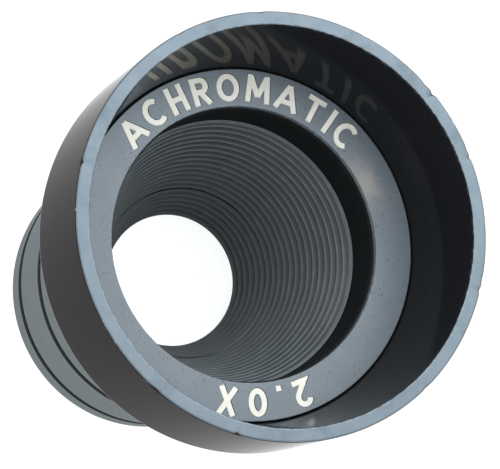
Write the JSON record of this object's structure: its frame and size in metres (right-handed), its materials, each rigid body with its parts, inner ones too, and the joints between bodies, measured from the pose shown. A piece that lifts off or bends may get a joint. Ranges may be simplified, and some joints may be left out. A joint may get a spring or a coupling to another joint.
{
  "type": "barlow lens",
  "caption": "Short turned-metal barlow lens with a wide black eyepiece cup, an engraved name ring, a baffled silver push-fit barrel and a screw-out lens cell.",
  "frame": {"origin": "centre of the telescope-end face, on the optical axis", "axes": "+Z along the optical axis towards the eyepiece, +Y towards the middle of the upper word on the name ring"},
  "size_m": [0.0436, 0.0436, 0.0493],
  "materials": {
    "black_anodised": "glossy black anodised",
    "satin_slate": "satin dark slate anodised",
    "satin_silver": "satin, fine turned",
    "baffle_black": "matt black",
    "seam_black": "matt black",
    "black_steel": "black oxide",
    "coated_glass": "anti-reflection coated",
    "letter_enamel": "cream enamel"
  },
  "bodies": {
    "barrel_assembly": {"head_cup": "black_anodised", "name_ring": "satin_slate", "barrel": "satin_silver", "grub_screw_1": "black_steel", "grub_screw_2": "black_steel", "grub_screw_3": "black_steel"},
    "cell_washer": {"cell_washer": "seam_black"},
    "cell_assembly": {"lens_cell": "satin_silver", "lens_retainer": "baffle_black", "flint_element": "coated_glass", "element_spacer": "baffle_black", "crown_element": "coated_glass", "nose_washer": "seam_black", "nose_ring": "satin_silver"}
  },
  "joints": [
    {"name": "barrel_turn", "type": "hinge", "parent": "cell_assembly", "child": "cell_washer", "pos_m": [0, 0, 0.01243], "axis": [0, 0, 1], "range_deg": [0, 1800]},
    {"name": "barrel_advance", "type": "slide", "parent": "cell_washer", "child": "barrel_assembly", "axis": [0, 0, 1], "range_m": [0, 0.00375]}
  ],
  "couplings": [
    {"joint": "barrel_advance", "follows": "barrel_turn", "m_per_rad": 0.00011937}
  ]
}
